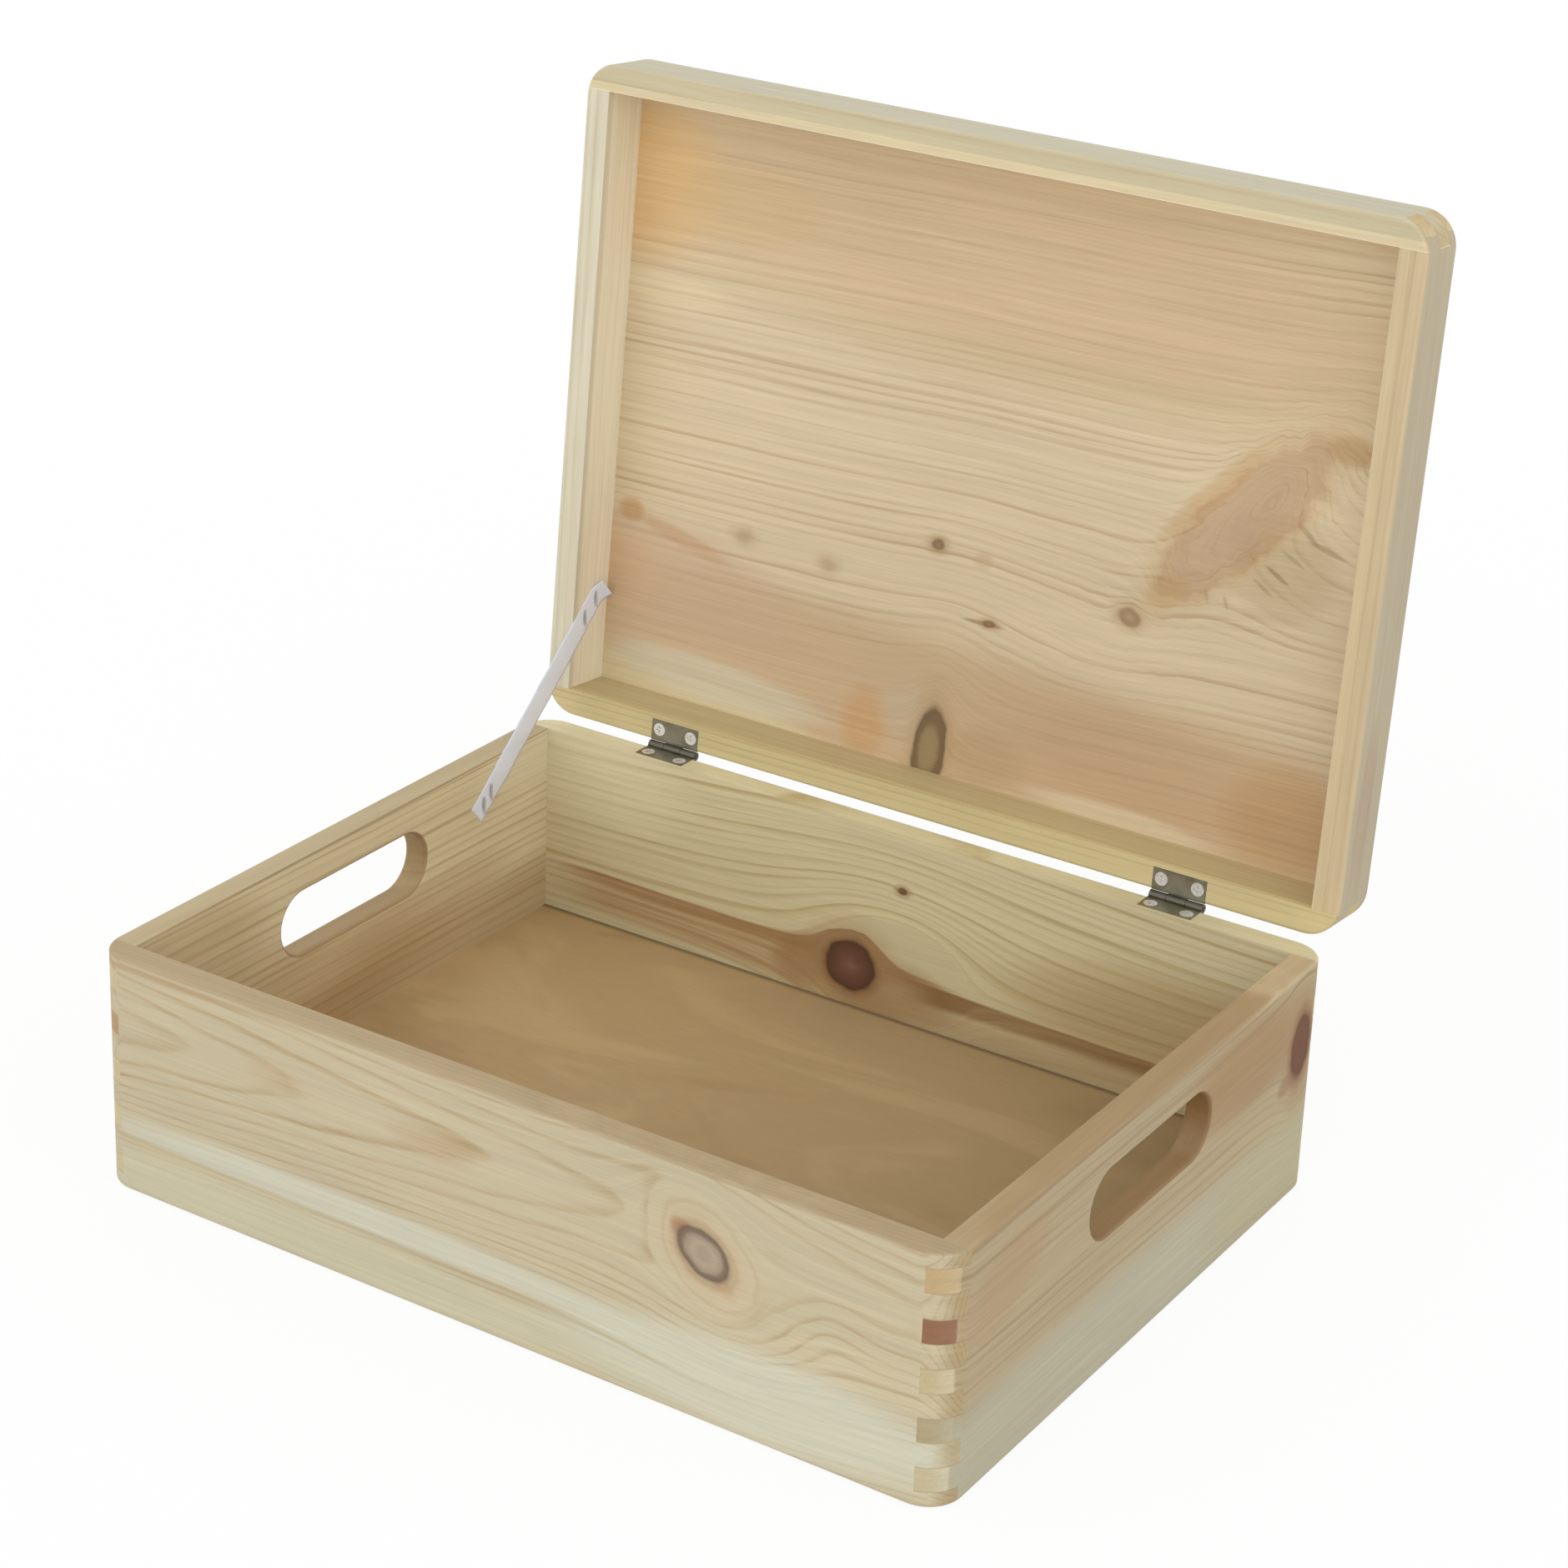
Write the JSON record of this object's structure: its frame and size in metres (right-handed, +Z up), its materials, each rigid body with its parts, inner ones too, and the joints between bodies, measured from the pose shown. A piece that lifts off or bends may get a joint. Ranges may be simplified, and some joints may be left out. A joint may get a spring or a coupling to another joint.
{
  "type": "hinged wooden storage box",
  "caption": "Finger-jointed pine storage box with a hinged lid held open by a ribbon stay, hand slots in its sides and a recessed plywood bottom.",
  "frame": {"origin": "on the table, under the middle of the open chest's box", "axes": "+X to the right seen from the front, -Y to the front, +Z up from the table"},
  "size_m": [0.4, 0.3606, 0.4061],
  "materials": {
    "pine_boards": "sanded and left bare, straight pine grain with knots",
    "pine_panel": "sanded and left bare, edge-glued pine with knots",
    "plywood": "sanded plywood, rotary-cut face",
    "hinge_steel": "dull nickel plate over pressed steel",
    "zinc_steel": "bright zinc plate",
    "ribbon": "white woven satin ribbon"
  },
  "bodies": {
    "base": {"base_front_board": "pine_boards", "base_back_board": "pine_boards", "base_left_board": "pine_boards", "base_right_board": "pine_boards", "base_bottom_panel": "plywood", "left_hinge_base_leaf": "hinge_steel", "right_hinge_base_leaf": "hinge_steel", "left_hinge_pin": "hinge_steel", "right_hinge_pin": "hinge_steel", "base_hinge_screws": "zinc_steel", "stay_ribbon": "ribbon", "ribbon_base_staples": "zinc_steel"},
    "lid": {"lid_front_rail": "pine_boards", "lid_back_rail": "pine_boards", "lid_left_rail": "pine_boards", "lid_right_rail": "pine_boards", "lid_panel": "pine_panel", "left_hinge_lid_leaf": "hinge_steel", "right_hinge_lid_leaf": "hinge_steel", "lid_hinge_screws": "zinc_steel", "ribbon_lid_staples": "zinc_steel"}
  },
  "joints": [
    {"name": "lid_hinge", "type": "hinge", "parent": "base", "child": "lid", "pos_m": [0, 0.12182, 0.10525], "axis": [1, 0, 0], "range_deg": [0, 95], "deforming": ["stay_ribbon"]}
  ]
}
